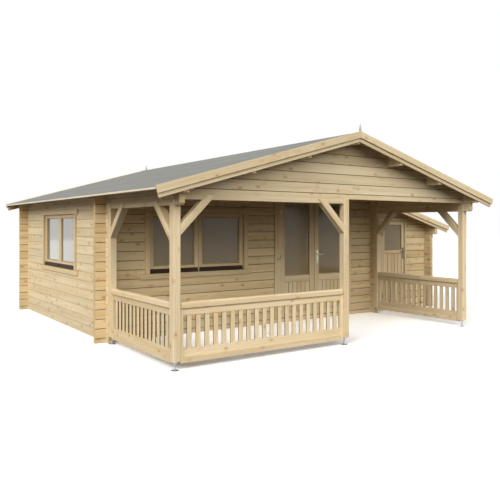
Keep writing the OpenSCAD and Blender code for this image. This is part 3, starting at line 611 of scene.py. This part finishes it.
def felt_slope(mesh, eave_x, top_x, y0, y1, eave_z):
    """Strips from the eave upwards, each lapped over the one below."""
    way = 1 if top_x > eave_x else -1
    run = abs(top_x - eave_x)
    rolls = math.ceil(run / (FELT_ROLL_W * math.cos(PITCH)))
    step = run / rolls
    for i in range(rolls):
        lower = max(0, i * step - FELT_LAP)
        upper = (i + 1) * step
        lift = FELT_T if i else 0
        ends = sorted(((eave_x + way * lower, eave_z + SLOPE * lower + lift),
                       (eave_x + way * upper, eave_z + SLOPE * upper)))
        felt_strip(mesh, ends[0][0], ends[1][0], y0, y1, ends[0][1], ends[1][1])


def roof_covering():
    """Felt on all three slopes, with a cap over the ridge."""
    left_low, left_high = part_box("roof_boards_left")
    annex_low, annex_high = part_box("annex_roof_boards")
    felt_low, felt_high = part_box("roof_felt")
    ridge_x = left_high.x
    ridge_z = felt_high.z - FELT_T / math.cos(PITCH)
    seam_x = annex_low.x
    mesh = bmesh.new()
    left_eave_z = ridge_z - SLOPE * (ridge_x - felt_low.x)
    felt_slope(mesh, felt_low.x, ridge_x, left_low.y, left_high.y, left_eave_z)
    right_eave_z = ridge_z - SLOPE * (seam_x - ridge_x)
    felt_slope(mesh, seam_x, ridge_x, left_low.y, left_high.y, right_eave_z)
    annex_eave_z = ridge_z - SLOPE * (felt_high.x - ridge_x)
    felt_slope(mesh, felt_high.x, seam_x, annex_low.y, annex_high.y, annex_eave_z)
    for way in (-1, 1):
        ends = sorted(((ridge_x, ridge_z + FELT_T),
                       (ridge_x + way * RIDGE_CAP, ridge_z - SLOPE * RIDGE_CAP + FELT_T)))
        felt_strip(mesh, ends[0][0], ends[1][0], left_low.y, left_high.y, ends[0][1], ends[1][1])
    bmesh.ops.recalc_face_normals(mesh, faces=mesh.faces)
    placed("felt_rolls", mesh_data("felt_rolls", mesh), FELT, "cabin", ("roof_felt",))


roof_covering()


# Balustrades

def balustrade(name, node, slats, along):
    """Handrail, stiles, rails and slats, each a board of its own."""
    low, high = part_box(node)
    side = ALONG_X if along is ALONG_Y else ALONG_Y
    middle = (low + high) / 2
    length = (high - low).dot(along)
    timber = Timber()

    def member(start, end, thick, z0, z1, way, arris=ARRIS, shaded_sides=None):
        first = along * (low.dot(along) + start) + side * (middle.dot(side) - thick / 2) + ALONG_Z * z0
        second = along * (low.dot(along) + end) + side * (middle.dot(side) + thick / 2) + ALONG_Z * z1
        timber.board(first, second, way, arris, shaded_sides=shaded_sides)

    under_rail = high.z - RAIL_H
    inner = low.z + BOTTOM_RAIL_H
    slat_low = inner + LOWER_INNER_H
    slat_high = under_rail - UPPER_INNER_H
    rail_width = (high - low).dot(side)
    member(0, length, rail_width, under_rail, high.z, along, RAIL_BEVEL)
    member(STILE_W, length - STILE_W, STILE_T, low.z, inner, along)
    member(STILE_W, length - STILE_W, INNER_RAIL_T, inner, slat_low, along)
    member(STILE_W, length - STILE_W, INNER_RAIL_T, slat_high, under_rail, along)
    for start in (0, length - STILE_W):
        member(start, start + STILE_W, STILE_T, low.z, under_rail, ALONG_Z)
    gap = (length - 2 * STILE_W - slats * SLAT_W) / (slats + 1)
    # The slats' sides that face along the rail get painted shade, for the shaded gaps between them.
    for i in range(slats):
        start = STILE_W + gap + i * (SLAT_W + gap)
        member(start, start + SLAT_W, SLAT_T, slat_low, slat_high, ALONG_Z, shaded_sides=along)
    timber.finish(name, "post_pine", "cabin", node)


balustrade("left_railing", "left_balustrade", SIDE_SLATS, ALONG_Y)
balustrade("right_railing", "right_balustrade", SIDE_SLATS, ALONG_Y)
balustrade("front_railing", "front_balustrade", FRONT_SLATS, ALONG_X)


# Windows and doors, drawn in a wall whose outer face is y = 0 and looks along -Y

def glazing_bead(timber, x0, x1, z0, z1, face, inward, place):
    """Four bevelled beads around a pane, on one face, with painted shade on their bevels."""
    y0, y1 = sorted((face, face + inward * BEAD_D))
    for z in (z0, z1 - BEAD_W):
        timber.board((x0, y0, z), (x1, y1, z + BEAD_W), ALONG_X, BEAD_BEVEL, BEAD_SPREAD, place,
                     grooved=True)
    for x in (x0, x1 - BEAD_W):
        timber.board((x, y0, z0 + BEAD_W), (x + BEAD_W, y1, z1 - BEAD_W), ALONG_Z, BEAD_BEVEL,
                     BEAD_SPREAD, place, grooved=True)


def window_joinery(timber, place, glass_z):
    """Two sashes side by side, each of two stiles and two rails with beads around the pane."""
    width = GLASS_W + 2 * SASH_STILE
    front = SASH_SETBACK - CASING_T - FIT
    back = front + SASH_T
    pane = (front + back) / 2
    bottom = glass_z - SASH_BOTTOM
    top = glass_z + GLASS_H + SASH_TOP
    # Sash stiles, rails and beads get painted shade on their broken edges.
    for left in (-width - FIT / 2, FIT / 2):
        for x in (left, left + width - SASH_STILE):
            timber.board((x, front, bottom), (x + SASH_STILE, back, top), ALONG_Z, ARRIS,
                         JOINERY_SPREAD, place, grooved=True)
        inner = (left + SASH_STILE, left + width - SASH_STILE)
        for z0, z1 in ((bottom, glass_z), (glass_z + GLASS_H, top)):
            timber.board((inner[0], front, z0), (inner[1], back, z1), ALONG_X, ARRIS,
                         JOINERY_SPREAD, place, grooved=True)
        for face, inward in ((pane - HALF_PANE, -1), (pane + HALF_PANE, 1)):
            glazing_bead(timber, inner[0], inner[1], glass_z, glass_z + GLASS_H, face, inward, place)


def window_places():
    """Where the two windows are, from their frames' boxes."""
    front_low, front_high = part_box("front_window_frame")
    left_low, left_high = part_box("left_window_frame")
    front = Matrix.Translation(((front_low.x + front_high.x) / 2, front_low.y + CASING_T + FIT, 0))
    left = Matrix.Translation((left_low.x + CASING_T + FIT, (left_low.y + left_high.y) / 2, 0))
    return front, left @ Matrix.Rotation(-math.pi / 2, 4, "Z")


def all_sashes():
    """The sashes of both windows, as one piece."""
    timber = Timber()
    glass_low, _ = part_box("window_glass")
    for place in window_places():
        window_joinery(timber, place, glass_low.z - FIT)
    timber.finish("sash_joinery", "joinery_pine", "cabin", "window_sashes")


all_sashes()


def door_joinery(name, node, body, stile, glass_z, lock_h):
    """A leaf of stiles and rails with a glazed light over a panel of upright boards."""
    low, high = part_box(node)
    timber = Timber()
    inner = (low.x + stile, high.x - stile)
    middle = (low.y + high.y) / 2
    panel_low, panel_high = low.z + stile, glass_z - lock_h
    # Stiles, rails, panel boards and beads get painted shade on their broken edges.
    for x in (low.x, high.x - stile):
        timber.board((x, low.y, low.z), (x + stile, high.y, high.z), ALONG_Z, ARRIS, JOINERY_SPREAD,
                     grooved=True)
    for z0, z1 in ((low.z, panel_low), (panel_high, glass_z), (high.z - stile, high.z)):
        timber.board((inner[0], low.y, z0), (inner[1], high.y, z1), ALONG_X, ARRIS, JOINERY_SPREAD,
                     grooved=True)
    count = round((inner[1] - inner[0]) / PANEL_BOARD_W)
    width = (inner[1] - inner[0]) / count
    for i in range(count):
        x = inner[0] + i * width
        timber.board((x, middle - PANEL_T / 2, panel_low), (x + width, middle + PANEL_T / 2, panel_high),
                     ALONG_Z, PANEL_BEVEL, grooved=True)
    for face, inward in ((middle - HALF_PANE, -1), (middle + HALF_PANE, 1)):
        glazing_bead(timber, inner[0], inner[1], glass_z, high.z - stile, face, inward, None)
    timber.finish(name, "joinery_pine", body, node)


door_joinery("left_leaf_joinery", "left_door_leaf", "left_leaf", LEAF_STILE, LEAF_GLASS_Z, LOCK_RAIL_H)
door_joinery("right_leaf_joinery", "right_door_leaf", "right_leaf", LEAF_STILE, LEAF_GLASS_Z, LOCK_RAIL_H)
door_joinery("annex_leaf_joinery", "annex_door_leaf", "annex_leaf", ANNEX_STILE, ANNEX_GLASS_Z, ANNEX_STILE)


# Floors, post feet, metal and glass

def floors():
    """Floor boards on joists in both rooms, in the place of the plain sheets."""
    timber = Timber()
    low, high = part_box("room_floors")
    joist_top = high.z - FLOOR_T
    bays = math.floor((high.y - low.y) / JOIST_PITCH)
    step = (high.y - low.y - JOIST_W) / bays
    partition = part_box("right_wall")
    for x0, x1 in ((low.x, partition[0].x - FIT), (partition[1].x + FIT, high.x)):
        for i in range(bays + 1):
            y = low.y + i * step
            timber.board((x0, y, low.z), (x1, y + JOIST_W, joist_top), ALONG_X)
        count = round((x1 - x0) / FLOOR_BOARD_W)
        width = (x1 - x0) / count
        for i in range(count):
            x = x0 + i * width
            timber.board((x, low.y, joist_top), (x + width, high.y, high.z), ALONG_Y, FLOOR_ARRIS,
                         FLOOR_SPREAD)
    timber.finish("floor_boarding", "floor_pine", "cabin", "room_floors")


floors()


def turned(mesh, profile, x, y, steps):
    """A turned form from a profile of radii and heights, around an upright axis at x and y."""
    verts = [mesh.verts.new((x + radius, y, z)) for radius, z in profile]
    edges = [mesh.edges.new(pair) for pair in zip(verts, verts[1:])]
    bmesh.ops.spin(mesh, geom=verts + edges, cent=(x, y, 0), axis=ALONG_Z, angle=2 * math.pi, steps=steps,
                   use_merge=True, use_duplicate=False)


def post_places():
    """Middles of the five posts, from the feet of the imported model."""
    source = bmesh.new()
    source.from_mesh(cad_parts["post_feet"].data)
    bmesh.ops.remove_doubles(source, verts=source.verts, dist=MERGE)
    middles = []
    for group in islands(source.faces):
        xs = [v.co.x for f in group for v in f.verts]
        ys = [v.co.y for f in group for v in f.verts]
        middles.append(((min(xs) + max(xs)) / 2, (min(ys) + max(ys)) / 2))
    source.free()
    return middles


def screw_feet():
    """Ground plate, threaded rod, hexagon nut and head plate under each post."""
    _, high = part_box("post_feet")
    head = high.z - FOOT_PLATE
    collar = FOOT_PLATE + COLLAR_H
    root_r = ROD_R - THREAD_D
    plate = [(0, 0), (FOOT_R - FOOT_EDGE, 0), (FOOT_R, FOOT_EDGE), (FOOT_R, FOOT_PLATE - FOOT_ROUND),
             (FOOT_R - FOOT_ROUND, FOOT_PLATE), (ROD_R + WELD_W, FOOT_PLATE),
             (ROD_R + COLLAR_T, FOOT_PLATE + WELD_H), (ROD_R + COLLAR_T, collar), (ROD_R - COLLAR_T, collar)]
    thread = []
    for turn in range(math.floor((head - NUT_H - collar) / THREAD_PITCH)):
        z = collar + turn * THREAD_PITCH
        thread += [(root_r, z), (ROD_R, z + THREAD_PITCH / 2)]
    top = [(root_r, head - NUT_H), (root_r, head), (HEAD_R - FOOT_EDGE, head), (HEAD_R, head + FOOT_EDGE),
           (HEAD_R, high.z - FOOT_EDGE), (HEAD_R - FOOT_EDGE, high.z), (0, high.z)]
    mesh = bmesh.new()
    for x, y in post_places():
        turned(mesh, plate + thread + top, x, y, FOOT_STEPS)
        hexagon = bmesh.ops.create_cone(mesh, cap_ends=True, segments=6, radius1=NUT_R, radius2=NUT_R,
                                        depth=NUT_H)["verts"]
        edges = list({e for v in hexagon for e in v.link_edges})
        bmesh.ops.translate(mesh, verts=hexagon, vec=(x, y, head - NUT_H / 2))
        bmesh.ops.bevel(mesh, geom=edges, offset=FOOT_ROUND, affect="EDGES", segments=2, profile=0.5,
                        material=-1)
    bmesh.ops.remove_doubles(mesh, verts=mesh.verts, dist=POLE_MERGE)
    bmesh.ops.recalc_face_normals(mesh, faces=mesh.faces)
    placed("screw_feet", mesh_data("screw_feet", mesh), GALVANISED, "cabin",
           ("post_feet",))


screw_feet()


def painted(node, finish):
    """Gives a node that keeps its own shape a better finish."""
    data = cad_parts[node].data
    data.materials.clear()
    data.materials.append(finish)


for node_name in ("left_door_hinges", "right_door_hinges", "annex_door_hinges", "frame_hinges"):
    painted(node_name, HINGE_STEEL)
painted("right_door_handle", HANDLE_STEEL)
painted("window_drip_bars", DARK_BRONZE)
painted("annex_door_handle", DULL_BRONZE)
painted("gable_finials", GREY_PAINT)
for node_name in ("left_door_glass", "right_door_glass", "annex_door_glass"):
    painted(node_name, GLAZING)


def panes(name, finish, left):
    """The panes of one window; those of the left one get a more mirror-like copy of the glazing, whose greyer
    colour paints a reflection of a bright surrounding.
    """
    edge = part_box("left_window_frame")[1].x
    mesh = bmesh.new()
    mesh.from_mesh(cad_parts["window_glass"].data)
    bmesh.ops.remove_doubles(mesh, verts=mesh.verts, dist=MERGE)
    others = [v for v in mesh.verts if (v.co.x < edge) != left]
    bmesh.ops.delete(mesh, geom=others, context="VERTS")
    placed(name, mesh_data(name, mesh), finish, "cabin", ("window_glass",))


panes("front_window_panes", GLAZING, False)
panes("left_window_panes", PAINTED_REFLECTION_GLAZING, True)


# Studio: a white floor that keeps the shadow, a faint glow all around and three large soft suns

def seen_directly(tree):
    """1 for camera, glossy and transmission rays."""
    path = add_node(tree, "ShaderNodeLightPath")
    glossy = maths(tree, "MAXIMUM", path.outputs["Is Camera Ray"], path.outputs["Is Glossy Ray"])
    return maths(tree, "MAXIMUM", glossy, path.outputs["Is Transmission Ray"])


def studio_world(horizon, glow, zenith):
    """White to the eye; the light that it gives changes from the horizon over a glow to the zenith."""
    world = bpy.data.worlds.new("white_studio")
    bpy.context.scene.world = world
    world.use_nodes = True
    tree = world.node_tree
    backdrop = tree.nodes["Background"]
    backdrop.inputs["Color"].default_value = (1, 1, 1, 1)
    way = add_node(tree, "ShaderNodeTexCoord").outputs["Generated"]
    height = add_node(tree, "ShaderNodeSeparateXYZ", Vector=way).outputs["Z"]
    rise = remap(tree, height, 0.0, GLOW_HEIGHT, horizon, glow)
    fall = remap(tree, height, GLOW_HEIGHT, ZENITH_HEIGHT, 0.0, zenith - glow)
    sky = maths(tree, "ADD", rise, fall)
    plug(tree, backdrop.inputs["Strength"], remap(tree, seen_directly(tree), 0, 1, sky, 1.0))


def studio_floor(seen, bounced):
    """White to the eye, with the object's shadow, and dull in the light that it throws back."""
    mesh = bmesh.new()
    bmesh.ops.create_grid(mesh, x_segments=1, y_segments=1, size=FLOOR_HALF)
    data = mesh_data("studio_floor", mesh)
    floor = bpy.data.objects.new("studio_floor", data)
    bpy.context.scene.collection.objects.link(floor)
    finish, tree, shader = new_finish("white_floor")
    plug(tree, shader.inputs["Base Color"], grey(tree, remap(tree, seen_directly(tree), 0, 1, bounced, seen)))
    shader.inputs["Roughness"].default_value = 1.0
    shader.inputs["Specular IOR Level"].default_value = 0.0
    data.materials.append(finish)


def studio_sun(name, strength, toward, softness):
    """A sun in some direction from the object, as wide as its softness in degrees."""
    data = bpy.data.lights.new(name, "SUN")
    data.energy = strength
    data.angle = math.radians(softness)
    data.color = SUN_COLOUR
    sun = bpy.data.objects.new(name, data)
    sun.rotation_euler = Vector(toward).to_track_quat("Z", "Y").to_euler()
    bpy.context.scene.collection.objects.link(sun)


studio_world(horizon=0.08, glow=0.82, zenith=0.08)
studio_floor(seen=1.45, bounced=0.05)
studio_sun("side_sun", strength=1.92, toward=(-0.9, -0.3, 0.5), softness=36)
studio_sun("front_sun", strength=1.72, toward=(-0.1, -1.0, 0.5), softness=50)
studio_sun("upper_sun", strength=0.64, toward=(-0.66, -0.64, 0.92), softness=36)


# Camera, as fitted to the view: level, with a small downward shift

def photo_camera():
    data = bpy.data.cameras.new("photo_camera")
    data.sensor_width = CAMERA_SENSOR
    data.lens = CAMERA_LENS
    data.shift_y = CAMERA_SHIFT
    camera = bpy.data.objects.new("photo_camera", data)
    camera.location = CAMERA_PLACE
    camera.rotation_euler = (math.pi / 2, 0, CAMERA_TURN)
    bpy.context.scene.collection.objects.link(camera)
    bpy.context.scene.camera = camera


photo_camera()
bpy.context.scene.view_settings.view_transform = "Standard"
